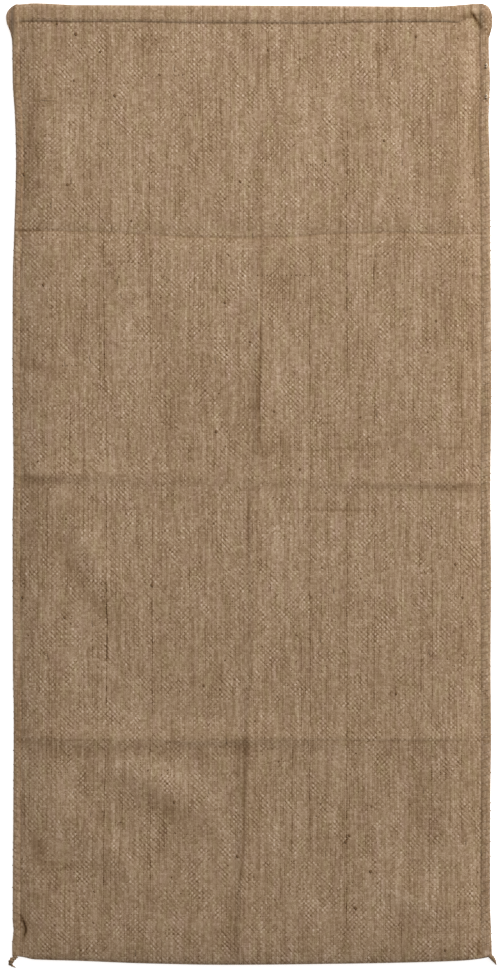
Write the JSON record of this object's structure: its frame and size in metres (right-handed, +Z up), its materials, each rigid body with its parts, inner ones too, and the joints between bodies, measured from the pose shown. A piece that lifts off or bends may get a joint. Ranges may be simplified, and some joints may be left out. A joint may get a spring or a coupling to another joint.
{
  "type": "jute sack",
  "caption": "Empty woven jute sack lying flat on its back, open at a hemmed mouth, sewn down both sides and folded at the bottom.",
  "frame": {"origin": "on the floor under the middle of the whole, tails included", "axes": "+Y along the sack from the bottom fold to the mouth, +X to the right seen from above with the mouth away, +Z up through the layers"},
  "size_m": [0.6132, 1.205, 0.016],
  "materials": {
    "jute_cloth": "coarse plain-woven jute, matt, golden brown with darker flecks",
    "seam_yarn": "twisted jute sewing yarn, matt and hairy"
  },
  "bodies": {
    "root": {"sack_cloth": "jute_cloth", "seam_tail_left": "seam_yarn", "seam_tail_right": "seam_yarn"}
  },
  "joints": []
}
